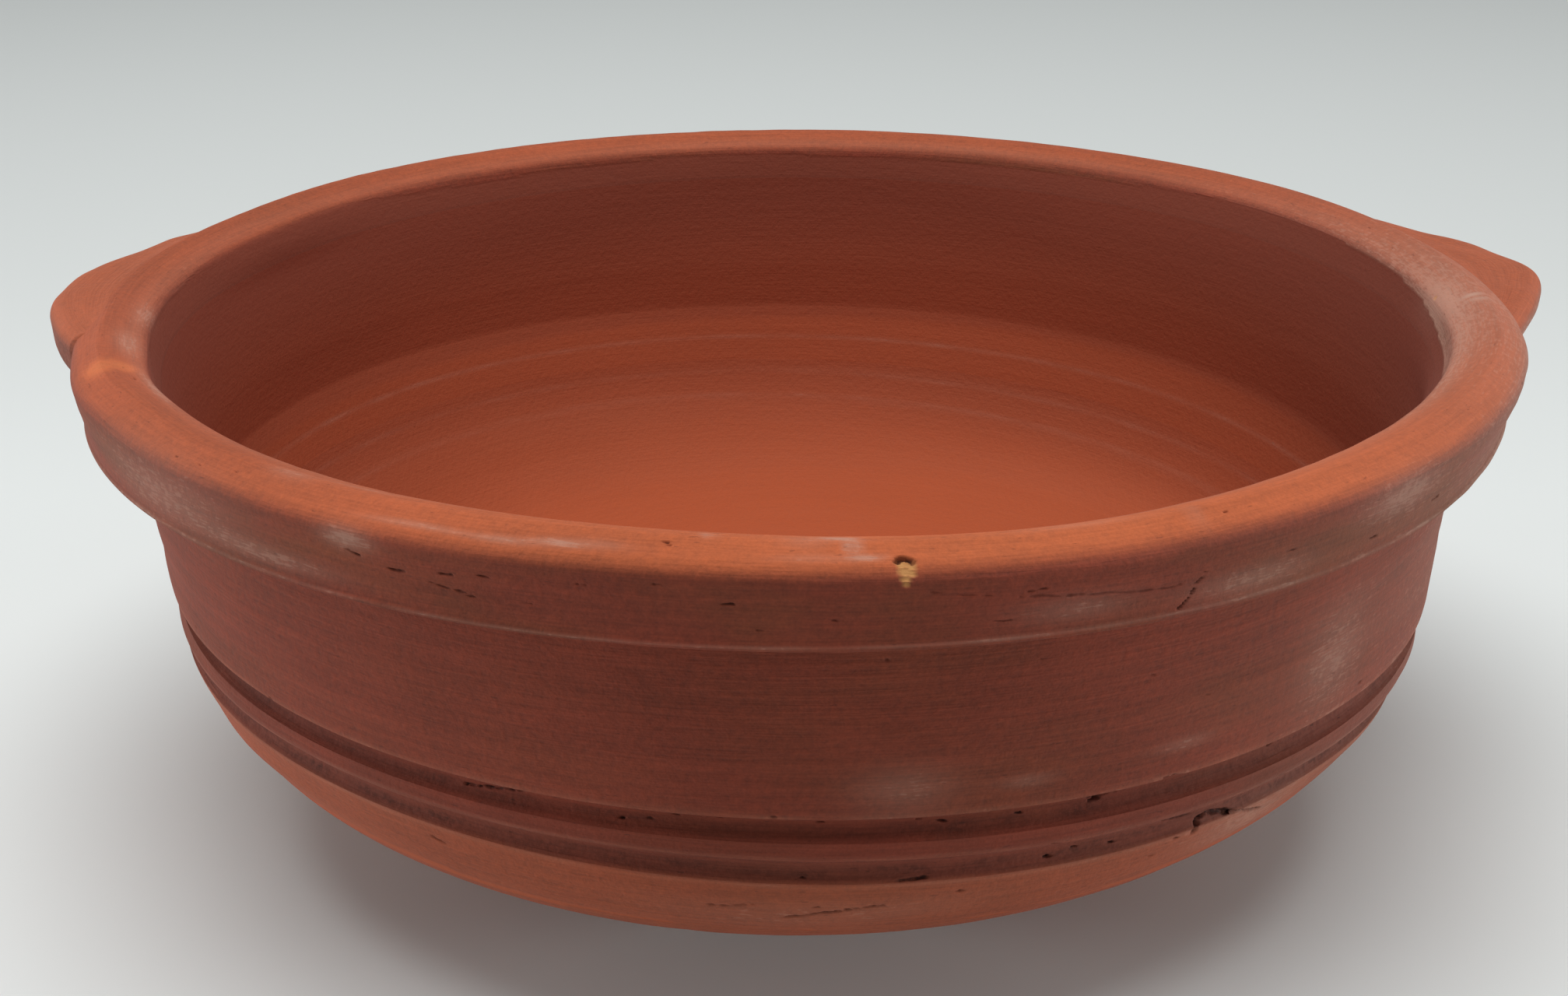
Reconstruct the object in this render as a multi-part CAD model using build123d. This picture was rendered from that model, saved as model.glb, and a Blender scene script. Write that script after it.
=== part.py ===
from build123d import *
import os
from math import acos, atan, cos, degrees, sin, sqrt, tan

# Low open cooking pot of unglazed red clay, in millimetres, +Z up.
# The origin is the centre of the flat foot. The two lugs lie along X.
# The pot is built as a potter builds it: a rounded bottom dish, a thrown wall ring luted to it,
# a thick rim collar capping the wall, and a clay lug let into each side of the collar.

# Whole pot
pot_height = 98.0
rim_radius = 125.0

# Rim collar
collar_height = 14.0
collar_taper = 1.6
collar_overhang = 6.6
collar_foot_round = 1.2
rim_round = 4.5

# Lip of the collar: it stands on the wall and slopes from the crest of the rim down to a rounded inner edge
lip_height = 9.0
lip_width = 9.0
lip_fall = 3.4
lip_round = 3.5

# Wall and belly
wall_thickness = 7.2
wall_lean = 3.6
belly_top = 49.7
belly_radius = 35.4
belly_turn = 44.6

# Bottom dish
foot_radius = 44.0
floor_radius = 36.0
floor_thickness = 9.5

# Turned grooves round the belly
groove_height = 50.7
groove_spacing = 7.8
groove_width = 4.8
groove_depth = 1.3

# Luted seam between the bottom dish and the wall, from the lower groove up to the inside
seam_rise = 7.8

# Lugs: reach beyond the rim, radius of the tip, flare in front, turn towards the back and fall of the top
lug_height = 11.0
lug_root = 4.0
lug_underside_rise = 2.0
lug_edge_round = 3.0
lug_back_flare = 25.0
left_lug_reach = 8.5
left_lug_tip_radius = 40.0
left_lug_front_flare = 8.0
left_lug_turn = 1.0
left_lug_fall = 1.0
right_lug_reach = 12.0
right_lug_tip_radius = 24.0
right_lug_front_flare = 45.0
right_lug_turn = 6.5
right_lug_fall = 3.5

# Places worked out from the sizes above
collar_low = pot_height - collar_height
wall_top = pot_height - lip_height
wall_radius = rim_radius - collar_taper - collar_overhang
belly_start = wall_radius - wall_lean
lean = atan(wall_lean / (collar_low - belly_top))
lip_radius = belly_start - wall_thickness / cos(lean) + (wall_top - belly_top) * tan(lean)
lower_groove_height = groove_height - groove_spacing


def outer_radius(height):
    """Radius of the plain outside of the wall and belly at a height."""
    if height > belly_top:
        return belly_start + (height - belly_top) * tan(lean)
    centre_radius = belly_start - belly_radius * cos(lean)
    centre_height = belly_top + belly_radius * sin(lean)
    return centre_radius + sqrt(belly_radius**2 - (height - centre_height) ** 2)


def turned(section):
    """Solid of revolution of a section drawn with radius across and height up."""
    return revolve(section, axis=Axis.Z)


def body_section():
    """Section of wall and bottom together, with the two grooves cut in its outside."""
    seat_top = Vector(wall_radius, wall_top)
    inward = Vector(-cos(lean), sin(lean))
    with BuildSketch(Plane.XZ) as section:
        with BuildLine():
            seat = Line(seat_top, (wall_radius, collar_low))
            wall = Line(seat @ 1, (belly_start, belly_top))
            belly = JernArc(wall @ 1, wall % 1, belly_radius, -belly_turn)
            under = TangentArc(belly @ 1, (foot_radius, 0), tangent=belly % 1)
            foot = Line(under @ 1, (0, 0))
            axis = Line(foot @ 1, (0, floor_thickness))
            floor = Line(axis @ 1, (floor_radius, floor_thickness))
            inner_top = Vector(lip_radius, wall_top)
            inner_low = Vector(belly_start, belly_top) + inward * wall_thickness
            inner_wall = Line(inner_top, inner_low)
            inner_belly = JernArc(inner_low, inner_wall % 1, belly_radius - wall_thickness, -belly_turn)
            TangentArc(inner_belly @ 1, floor @ 1, tangent=inner_belly % 1)
            Line(inner_top, seat_top)
        make_face()
        groove_radius = (groove_width**2 / 4 + groove_depth**2) / (2 * groove_depth)
        for height in (groove_height, lower_groove_height):
            groove_centre = outer_radius(height) + groove_radius - groove_depth
            with Locations((groove_centre, height)):
                Circle(groove_radius, mode=Mode.SUBTRACT)
    return section.sketch


def below_seam():
    """Region below the luted seam, which climbs inwards from the bottom of the lower groove."""
    seam_radius = outer_radius(lower_groove_height) - groove_depth
    seam_top = lower_groove_height + seam_rise
    inside = seam_radius - 2 * wall_thickness
    with BuildSketch(Plane.XZ) as region:
        with BuildLine():
            Polyline(
                (0, -floor_thickness),
                (rim_radius, -floor_thickness),
                (rim_radius, lower_groove_height),
                (seam_radius, lower_groove_height),
                (inside, lower_groove_height + 2 * seam_rise),
                (0, seam_top + seam_rise),
                close=True,
            )
        make_face()
    return region.sketch


def collar_section():
    """Section of the rim collar: sloped lip, rounded rim, and a skirt that laps the outside of the wall."""
    with BuildSketch(Plane.XZ) as section:
        with BuildLine():
            lip_foot = Vector(lip_radius, wall_top)
            lip_edge = Vector(lip_radius + (lip_height - lip_fall) * tan(lean), pot_height - lip_fall)
            crest = Vector(lip_radius + lip_width, pot_height)
            lip = Polyline(lip_foot, lip_edge, crest)
            rim = Line(lip @ 1, (rim_radius - rim_round, pot_height))
            edge = TangentArc(rim @ 1, (rim_radius, pot_height - rim_round), tangent=rim % 1)
            low_radius = rim_radius - collar_taper
            face = Line(edge @ 1, (low_radius, collar_low + collar_foot_round))
            hem = TangentArc(face @ 1, (low_radius - collar_foot_round, collar_low), tangent=face % 1)
            Polyline(hem @ 1, (wall_radius, collar_low), (wall_radius, wall_top), lip_foot)
        make_face()
        fillet(section.vertices().sort_by_distance(lip_edge)[0], lip_round)
    return section.sketch


def flare_angle(reach, tip_radius, flare):
    """Angle from the lug's middle to where its flare runs into the rim circle."""
    tip_centre = rim_radius + reach - tip_radius
    far = rim_radius + flare
    return acos((tip_centre**2 + far**2 - (tip_radius + flare) ** 2) / (2 * tip_centre * far))


def lug_ring(reach, fall):
    """Section of a lug, from its seat inside the collar out past its tip."""
    seat = rim_radius - lug_root
    past_tip = rim_radius + reach + lug_root
    low = pot_height - lug_height
    with BuildSketch(Plane.XZ) as section:
        with BuildLine():
            Polyline(
                (seat, low),
                (seat, pot_height),
                (rim_radius, pot_height),
                (past_tip, pot_height - fall),
                (past_tip, low + lug_underside_rise),
                close=True,
            )
        make_face()
    return section.sketch


def lug_blank(reach, tip_radius, front_flare, turn, fall):
    """Right-hand lug with sharp edges, and the pocket in the collar that its root fills."""
    seat = rim_radius - lug_root
    centre = Vector(rim_radius + reach - tip_radius, 0)
    tip = Vector(rim_radius + reach, 0)
    angles = []
    ends = []
    joins = []
    for side, flare in ((-1, front_flare), (1, lug_back_flare)):
        angle = side * flare_angle(reach, tip_radius, flare)
        end = Vector(cos(angle), sin(angle))
        towards_flare = (end * (rim_radius + flare) - centre).normalized()
        angles.append(degrees(angle))
        ends.append(end)
        joins.append(centre + towards_flare * tip_radius)
    with BuildSketch() as plan:
        with BuildLine():
            ThreePointArc(joins[0], tip, joins[1])
            RadiusArc(joins[1], ends[1] * rim_radius, lug_back_flare)
            Line(ends[1] * rim_radius, ends[1] * seat)
            RadiusArc(ends[1] * seat, ends[0] * seat, seat)
            Line(ends[0] * seat, ends[0] * rim_radius)
            RadiusArc(ends[0] * rim_radius, joins[0], front_flare)
        make_face()
    sector = revolve(lug_ring(reach, fall), axis=Axis.Z, revolution_arc=angles[1] - angles[0])
    pocket = Rot(0, 0, angles[0]) * sector
    blank = extrude(plan.sketch, amount=pot_height) & pocket
    return Rot(0, 0, turn) * blank, Rot(0, 0, turn) * pocket


def outer_edges(blank):
    """Long edges of a lug along its top and bottom outline, outside the rim circle."""
    return [edge for edge in blank.edges() if is_outline(edge)]


def is_outline(edge):
    middle = edge @ 0.5
    ends = (edge @ 0, edge @ 1)
    outside = sqrt(middle.X**2 + middle.Y**2) > rim_radius
    across = max(abs(end.Z - middle.Z) for end in ends) < lug_height / 4
    return outside and across


body = body_section()
collar = turned(collar_section())
pieces = {
    "bottom_dish": turned(body & below_seam()),
    "wall_ring": turned(body - below_seam()),
}
right_blank, right_pocket = lug_blank(
    right_lug_reach, right_lug_tip_radius, right_lug_front_flare, right_lug_turn, right_lug_fall
)
left_blank, left_pocket = lug_blank(
    left_lug_reach, left_lug_tip_radius, left_lug_front_flare, left_lug_turn, left_lug_fall
)
pieces["rim_collar"] = collar - right_pocket - mirror(left_pocket, about=Plane.YZ)
pieces["right_lug"] = fillet(outer_edges(right_blank), lug_edge_round)
pieces["left_lug"] = mirror(fillet(outer_edges(left_blank), lug_edge_round), about=Plane.YZ)

os.makedirs("parts", exist_ok=True)
for name, piece in pieces.items():
    export_step(piece, f"parts/{name}.step")
    box = piece.bounding_box()
    print(f"{name}: {piece.volume / 1000:.1f} cm3, {box.size.X:.1f} x {box.size.Y:.1f} x {box.size.Z:.1f} mm")
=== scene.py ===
# %% [markdown]
# # A low clay cooking pot with two lugs
# The pot is unglazed red earthenware. A potter throws a wall ring on the wheel, joins it to a rounded
# bottom dish, caps it with a thick rim collar, and presses a small clay lug into each side of the rim. The
# CAD model gives the true sizes. This lesson gives each piece the marks of the hand, the wheel and the
# fire.

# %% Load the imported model
import math

import bmesh
import bpy
from mathutils import Matrix, Vector, kdtree, noise
from mathutils.bvhtree import BVHTree


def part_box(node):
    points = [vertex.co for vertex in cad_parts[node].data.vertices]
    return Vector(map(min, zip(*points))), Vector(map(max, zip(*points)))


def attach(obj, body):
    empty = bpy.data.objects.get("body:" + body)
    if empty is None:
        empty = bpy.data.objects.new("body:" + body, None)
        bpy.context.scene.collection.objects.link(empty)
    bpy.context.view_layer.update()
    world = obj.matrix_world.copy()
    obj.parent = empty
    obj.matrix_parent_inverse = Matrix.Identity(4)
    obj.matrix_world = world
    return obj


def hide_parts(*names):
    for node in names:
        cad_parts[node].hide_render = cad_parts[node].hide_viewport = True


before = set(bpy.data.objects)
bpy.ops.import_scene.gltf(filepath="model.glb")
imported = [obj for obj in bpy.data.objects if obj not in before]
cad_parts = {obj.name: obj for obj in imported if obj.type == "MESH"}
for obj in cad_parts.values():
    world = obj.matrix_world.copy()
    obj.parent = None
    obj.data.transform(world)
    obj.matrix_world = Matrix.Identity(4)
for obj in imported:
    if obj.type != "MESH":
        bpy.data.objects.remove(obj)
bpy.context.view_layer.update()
print("CAD nodes:", sorted(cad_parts))

# %% [markdown]
# ## Sizes
# Every piece is drawn in millimetres and scaled to metres at the end. The big sizes come from the boxes of
# the CAD nodes, so the dressed pot keeps their size. The sizes that a box can't tell are named here.

# %% Read the sizes
MM = 0.001


def box_in_mm(node):
    return [Vector(corner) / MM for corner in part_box(node)]


collar_box = box_in_mm("rim_collar")
wall_box = box_in_mm("wall_ring")
dish_box = box_in_mm("bottom_dish")
pot_height = collar_box[1].z
rim_radius = collar_box[1].y
collar_low = collar_box[0].z
wall_radius = wall_box[1].x
wall_top = wall_box[1].z
inner_seam = dish_box[1].z
wall_thickness = 7.2
wall_lean = 3.6
belly_top = 49.7
belly_radius = 35.4
foot_radius = 44.0
floor_radius = 36.0
floor_thickness = 9.5
print(f"rim radius {rim_radius:.1f}, height {pot_height:.1f}, wall radius {wall_radius:.1f} mm")

# %% [markdown]
# ## The plain outside of the body
# The wall leans in a little and then turns under in an arc. The grooves and the seam are placed by height,
# so a formula gives the radius of the plain outside at any height. The CAD mesh could be measured instead,
# but a formula is exact and also holds where the CAD has a groove.

# %% Find the outside radius
belly_start = wall_radius - wall_lean
lean = math.atan(wall_lean / (collar_low - belly_top))
lip_radius = belly_start - wall_thickness / math.cos(lean) + (wall_top - belly_top) * math.tan(lean)


def outside_radius(height):
    """Radius of the plain outside of wall and belly at a height."""
    if height > belly_top:
        return belly_start + (height - belly_top) * math.tan(lean)
    centre_radius = belly_start - belly_radius * math.cos(lean)
    centre_height = belly_top + belly_radius * math.sin(lean)
    return centre_radius + math.sqrt(belly_radius**2 - (height - centre_height) ** 2)


def inside_radius(height):
    """Radius of the plain inside of the wall at a height."""
    return lip_radius - (wall_top - height) * math.tan(lean)


print(f"outside {outside_radius(50):.1f} mm and inside {inside_radius(50):.1f} mm at half height")

# %% Place the grooves and the seam
groove_edge = 53.0
ridge_top = 48.5
ridge_low = 45.5
band_top = 40.7
seam_outside = (outside_radius(44.4) - 1.6, 44.5)
seam_inside = (inside_radius(inner_seam) - 3.2, inner_seam)
print(f"the seam climbs from {seam_outside[1]:.1f} mm outside to {seam_inside[1]:.1f} mm inside")

# %% [markdown]
# ## A pen for outlines
# Each thrown piece is an outline turned round the wheel's axis. A list of points could give the outline,
# but it would be hard to read and to change. So a pen draws it with bmesh operators: an extruded vertex
# makes a straight stretch, and a spun vertex makes an arc. Every stretch has its own step, so the rows are
# close where the clay has fine detail and wide where it is hidden.

# %% Make the pen
merge_distance = 0.001


class Pen:
    """Draws an outline in the half-plane in front of the axis, with radius along -Y and height along Z."""

    def __init__(self, radius, height):
        self.bm = bmesh.new()
        self.start = Vector((0, -radius, height))
        self.tip = self.bm.verts.new(self.start)
        self.way = Vector((0, 0, 1))

    def line(self, radius, height, step):
        """Straight stretch to a point."""
        run = Vector((0, -radius, height)) - self.tip.co
        rows = max(1, round(run.length / step))
        for _ in range(rows):
            tip = bmesh.ops.extrude_vert_indiv(self.bm, verts=[self.tip])["verts"][0]
            tip.co += run / rows
            self.tip = tip
        self.way = run.normalized()

    def across(self):
        """Direction at right angles to the way of the last stretch."""
        return Vector((1, 0, 0)).cross(self.way)

    def curve(self, radius, height, step):
        """Arc to a point, which leaves in the way of the last stretch."""
        run = Vector((0, -radius, height)) - self.tip.co
        bend = run.length_squared / (2 * run.dot(self.across()))
        self.arc(bend, 2 * math.atan2(run.dot(self.across()), run.dot(self.way)), step)

    def arc(self, bend, angle, step):
        """Arc of a radius through an angle. Positive ones turn away from the axis on the way up."""
        rows = max(2, round(abs(bend * angle) / step))
        made = bmesh.ops.spin(
            self.bm, geom=[self.tip], cent=self.tip.co + self.across() * bend,
            axis=(1, 0, 0), angle=angle, steps=rows,
        )
        self.tip = [part for part in made["geom_last"] if isinstance(part, bmesh.types.BMVert)][0]
        self.way = Matrix.Rotation(angle, 3, "X") @ self.way

    def close(self, step):
        """Straight stretch back to the start."""
        self.line(-self.start.y, self.start.z, step)

    def measured(self):
        """The outline, with the way along it kept at each vertex so that patterns can follow it."""
        bmesh.ops.remove_doubles(self.bm, verts=self.bm.verts, dist=merge_distance)
        along = self.bm.verts.layers.float.new("along")
        self.bm.verts.ensure_lookup_table()
        vert, edge, way = self.bm.verts[0], self.bm.verts[0].link_edges[0], 0
        for _ in self.bm.verts[1:]:
            following = edge.other_vert(vert)
            way += edge.calc_length() * MM
            following[along] = way
            edge = [other for other in following.link_edges if other != edge][0]
            vert = following
        return self.bm


trial = Pen(20, 0)
trial.line(30, 10, 2)
trial.curve(20, 20, 2)
print(f"a trial stroke of the pen has {len(trial.bm.verts)} vertices")
trial.bm.free()

# %% [markdown]
# ## Turning an outline on the wheel
# One spin of hundreds of steps is slow, because every step walks over the whole mesh. A spin of one sector,
# copied round by a second spin and merged, gives the same ring in a moment. The normals are recalculated
# after the merge, and edges that turn sharply, such as those at the seams, are marked to be shaded sharp.

# %% Turn on the wheel
sharp_turn = 0.8


def thrown(pen, sectors, sector_steps):
    """Ring mesh of a drawn outline, closed and with its faces outwards."""
    bm = pen.measured()
    sector = 2 * math.pi / sectors
    geom = bm.verts[:] + bm.edges[:]
    bmesh.ops.spin(bm, geom=geom, cent=(0, 0, 0), axis=(0, 0, 1), angle=sector, steps=sector_steps)
    geom = bm.verts[:] + bm.edges[:] + bm.faces[:]
    bmesh.ops.spin(
        bm, geom=geom, cent=(0, 0, 0), axis=(0, 0, 1), angle=2 * math.pi - sector, steps=sectors - 1,
        use_duplicate=True,
    )
    bmesh.ops.remove_doubles(bm, verts=bm.verts, dist=merge_distance)
    bmesh.ops.recalc_face_normals(bm, faces=bm.faces)
    bm.normal_update()
    for edge in bm.edges:
        edge.smooth = edge.calc_face_angle(0) < sharp_turn
    print(f"thrown: {len(bm.verts)} vertices in {sectors * sector_steps} steps")
    return bm


# %% [markdown]
# ## Measuring round the pot
# Many marks have a place round the pot and a soft edge. Bearings are degrees round the pot from the front,
# and grow to the right. A hump is 1 at its centre and fades out on both sides, and a blend rises smoothly.


# %% Measure round the pot
def bearing(point):
    return math.degrees(math.atan2(point.x, -point.y))


def hump(value, centre, width):
    """Soft hump that is 1 at its centre."""
    return math.exp(-(((value - centre) / width) ** 2))


def side(angle, centre, width):
    """Soft hump round the pot, also across the back where bearings jump from 180 to -180."""
    return hump((angle - centre + 180) % 360 - 180, 0, width)


def humps(swells, angle):
    """Sum of soft humps round the pot, each with its bearing, width and amount."""
    return sum(amount * side(angle, middle, wide) for middle, wide, amount in swells)


def blend(value, start, end):
    """Smooth rise from 0 at start to 1 at end."""
    share = min(1, max(0, (value - start) / (end - start)))
    return share * share * (3 - 2 * share)


print(f"a hump 10 wide is {hump(5, 0, 10):.2f} at 5, and a blend from 0 to 10 is {blend(2, 0, 10):.2f} at 2")

# %% [markdown]
# ## The hand of the potter
# A thrown pot is never quite round or level. The rim rises a little at the front left and sinks at the
# front right, the grooves slope, and the body bulges here and is dented there. Sculpting each mesh would
# open the seams. So one function moves every point of every piece in the same way, and the seams stay
# closed.

# %% Note where the hand pressed
rim_swells = [(-65, 6, 0.8), (76, 10, 0.5), (-112, 12, -1.2)]
hem_swells = [(-64, 14, 0.3), (62, 18, -1.3)]
bottom_swells = [(48, 30, -3.0), (-42, 30, -0.8)]
rim_rises = [(-15, 14, 0.55), (20, 17, -0.7), (145, 16, -0.3)]
# Bearing, width round the pot, height, width in height and amount of each bulge
bulges = [
    (-62, 25, 41, 5.5, 1.3), (-70, 25, 62, 6, -0.35), (-72, 14, 48.5, 4, -0.6),
    (-54, 9, 34.5, 2.4, 0.8), (70, 25, 50, 12, 0.5), (60, 10, 40, 3, 0.7),
]
print(f"{len(bulges)} bulges and dents on the body")


# %% Shape by hand
def groove_drop(angle, height):
    """How far the grooves run down to the right of the front, fading out above and below them."""
    reach = blend(height, 68, 54) * blend(height, 22, 39)
    slope = 2.0 + 0.1 * max(0, 53 - height)
    return reach * slope * math.sin(math.radians(angle + 1))


def by_hand(point):
    """Place of a point of the true round form after the work of the hand."""
    angle = bearing(point)
    turn = math.radians(angle)
    rim = blend(point.z, 86, 93)
    hem = blend(point.z, 80, 85) * (1 - rim)
    bottom = blend(point.z, 48, 33) * blend(point.z, 4, 18)
    wander = noise.noise(Vector((math.sin(turn) * 2, math.cos(turn) * 2, point.z * 0.03)))
    out = 0.3 * wander * blend(point.z, 15, 90)
    out += rim * humps(rim_swells, angle) + hem * humps(hem_swells, angle)
    for middle, wide, height, high, amount in bulges:
        out += amount * side(angle, middle, wide) * hump(point.z, height, high)
    out += bottom * humps(bottom_swells, angle)
    grown = 1 + out / max(math.hypot(point.x, point.y), 40)
    lifted = point.z + humps(rim_rises, angle) * blend(point.z, 78, 96) - groove_drop(angle, point.z)
    return Vector((point.x * grown, point.y * grown, lifted))


print(f"the grooves drop {groove_drop(40, 45):.1f} mm at the right")

# %% [markdown]
# ## Wheel marks
# Fingers and a wet sponge leave low rings that run round the pot. Noise that is long round the pot and
# short along the outline gives them. A bump in the material could draw them too, but real relief also shows
# at the edge of the pot. The corners at the seams are left alone, so neighbouring pieces still meet.


# %% Add the wheel marks
def ripple(point, length, spacing):
    """Wave that runs round the pot, with rings about a spacing apart along the outline."""
    level = point.z + math.hypot(point.x, point.y)
    return noise.noise(Vector((point.x / length, point.y / length, level / spacing)))


def is_corner(vert):
    return any(not edge.smooth for edge in vert.link_edges)


def is_inner(vert):
    """True on the inside of the pot: nearer the axis than the middle of the wall, and above the foot."""
    radius = math.hypot(vert.co.x, vert.co.y)
    if vert.co.z > 30:
        return radius < inside_radius(vert.co.z) + 2
    return vert.normal.z > 0


def work(bm, depth, length=60, spacing=2.6):
    """Wheel marks of a depth, and then the shape given by hand."""
    for vert in bm.verts:
        if depth and not is_corner(vert):
            broad = ripple(vert.co, length, spacing * 2.7)
            fine = ripple(vert.co + Vector((50, 20, 9)), length * 0.6, spacing)
            share = 0.15 if is_inner(vert) else 1
            vert.co += vert.normal * depth * share * (broad + 0.6 * fine)
    for vert in bm.verts:
        vert.co = by_hand(vert.co)
    bm.normal_update()
    print(f"worked by hand, with wheel marks {depth} mm deep")


# %% [markdown]
# ## Pits, cracks and chips
# Grit dragged over wet clay leaves short drag marks and tears, and hard use chips the rim. Cutting them
# with booleans would leave thin faces. So each mark is a string of small hollows, called beads here. The
# faces near a bead are divided finely, and their vertices sink along the normal. The depth is kept in
# attributes, so that the material can darken a crack with dirt and painted shade, and show raw clay in a
# chip.


# %% Find a place on a piece
def facing(angle):
    """Level direction out of the pot at a bearing."""
    turn = math.radians(angle)
    return Vector((math.sin(turn), -math.cos(turn), 0))


def on_side(tree, angle, height):
    """Point of the outside at a bearing and height, or None beside the piece."""
    far = facing(angle) * 200 + Vector((0, 0, height))
    hit = tree.ray_cast(far, -facing(angle), 100)[0]
    if hit and hit.dot(facing(angle)) > outside_radius(max(height, 20)) - 3:
        return hit


def on_top(tree, angle, radius):
    """Point of the upper side at a bearing and radius."""
    far = facing(angle) * radius + Vector((0, 0, 200))
    return tree.ray_cast(far, Vector((0, 0, -1)))[0]


print("a bearing of 90 degrees faces", facing(90)[:])


# %% String beads along a mark
def crack(tree, place, path, width, depth, rawness=0):
    """Beads along a path of bearings and heights, which wander and change in width."""
    beads = []
    for (angle_a, level_a), (angle_b, level_b) in zip(path, path[1:]):
        count = max(1, round(math.hypot((angle_b - angle_a) * 2.1, level_b - level_a) / 0.3))
        for index in range(count):
            share = index / count
            angle = angle_a + (angle_b - angle_a) * share
            level = level_a + (level_b - level_a) * share
            waver = noise.noise(Vector((angle * 0.9, level, 3.7)))
            swollen = 1 + 0.8 * noise.noise(Vector((angle * 1.9, level * 1.3, 8.1)))
            point = place(tree, angle, level + waver * 0.25)
            if point and (swollen > 0.8 or depth > 0.45):
                beads.append((point, width / 2 * swollen, depth * swollen, rawness))
    return beads


def cracks(tree, place, marks):
    """Beads of cracks, each of a path, a width and a depth."""
    return [bead for path, width, depth in marks for bead in crack(tree, place, path, width, depth)]


def pits(tree, place, marks):
    """Beads of short drag marks, each of bearing, height or radius, length round the pot and depth."""
    beads = []
    for angle, level, length, depth in marks:
        half = length / 4.2
        tilt = 0.3 * noise.noise(Vector((angle, level, 0)))
        path = [(angle - half, level - tilt), (angle + half, level + tilt)]
        beads += crack(tree, place, path, 0.3 + 0.35 * depth, depth)
    return beads


# %% Sink the marks
def sink(bm, beads, cuts=3):
    """Divide the faces near the beads and press the beads into the clay."""
    hollow = bm.verts.layers.float.new("hollow")
    raw = bm.verts.layers.float.new("raw")
    tree = kdtree.KDTree(len(beads))
    for index, bead in enumerate(beads):
        tree.insert(bead[0], index)
    tree.balance()
    near = set()
    for face in bm.faces:
        point, index, distance = tree.find(face.calc_center_median())
        if distance < beads[index][1] + 0.9:
            near.update(face.edges)
    bmesh.ops.subdivide_edges(bm, edges=list(near), cuts=cuts, use_grid_fill=True)
    bm.normal_update()
    widest = max(bead[1] for bead in beads) * 1.4
    for vert in bm.verts:
        found = tree.find_range(vert.co, widest)
        uneven = 1 + 0.3 * noise.noise(vert.co * 1.6) if found else 1
        deepest = 0
        for point, index, distance in found:
            radius, depth, rawness = beads[index][1:]
            share = 1 - distance * uneven / radius
            if share > 0:
                press = min(1, 1.7 * share)
                deepest = max(deepest, depth * press)
                # The hollow mask darkens pits and cracks with dirt and painted shade.
                vert[hollow] = max(vert[hollow], press * (1 - rawness) * min(1, depth / 0.5))
                vert[raw] = max(vert[raw], press * rawness)
        vert.co -= vert.normal * deepest
    print(f"  {len(beads)} beads pressed in, {len(bm.faces)} faces")


# %% [markdown]
# ## Painted masks
# Dry pale bloom, painted sheen, soot, painted shade and light, scuffs and the warmer colour of rim and
# inside change from place to place. An image would need a UV map and a file. Instead they are added up as
# soft patches in attributes of the vertices, which travel with the mesh.


# %% Paint soft patches
def patches(tree, place, marks):
    """Patches for paint, from marks of bearing, height or radius, two widths and a strength."""
    return [(place(tree, angle, level), wide, high, strength) for angle, level, wide, high, strength in marks]


def paint(bm, name, soft_patches, base=None):
    """Adds soft patches to a float attribute: point, width round the pot, width across it, and strength."""
    layer = bm.verts.layers.float.get(name) or bm.verts.layers.float.new(name)
    placed = [(point, facing(bearing(point) + 90), wide, high, strength)
              for point, wide, high, strength in soft_patches]
    for vert in bm.verts:
        value = base(vert) if base else 0
        for point, round_axis, wide, high, strength in placed:
            offset = vert.co - point
            if offset.length_squared < 6 * max(wide, high) ** 2:
                round_way = offset.dot(round_axis)
                across = offset.length_squared - round_way**2
                value += strength * math.exp(-((round_way / wide) ** 2) - across / high**2)
        vert[layer] += value


# %% [markdown]
# ## From a mesh to a piece
# A finished mesh is scaled to metres and becomes an object at the origin, because patterns on Object
# coordinates would slide if the object were moved. The piece rides on the pot's only body and stands for
# its CAD node.


# %% Finish a piece
def finish_piece(bm, node, material):
    bmesh.ops.scale(bm, vec=(MM, MM, MM), verts=bm.verts)
    for face in bm.faces:
        face.smooth = True
    mesh = bpy.data.meshes.new(node + "_clay")
    bm.to_mesh(mesh)
    bm.free()
    mesh.materials.append(material)
    piece = bpy.data.objects.new(node + "_clay", mesh)
    bpy.context.scene.collection.objects.link(piece)
    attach(piece, "root")
    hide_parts(node)
    mesh.calc_loop_triangles()
    print(f"{node}: {len(mesh.loop_triangles)} triangles")


# %% [markdown]
# ## Shader values
# A small class wraps a node's output socket. Its operators add Math nodes, so that the clay's recipe reads
# as a formula. One method adds any other node.


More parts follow.
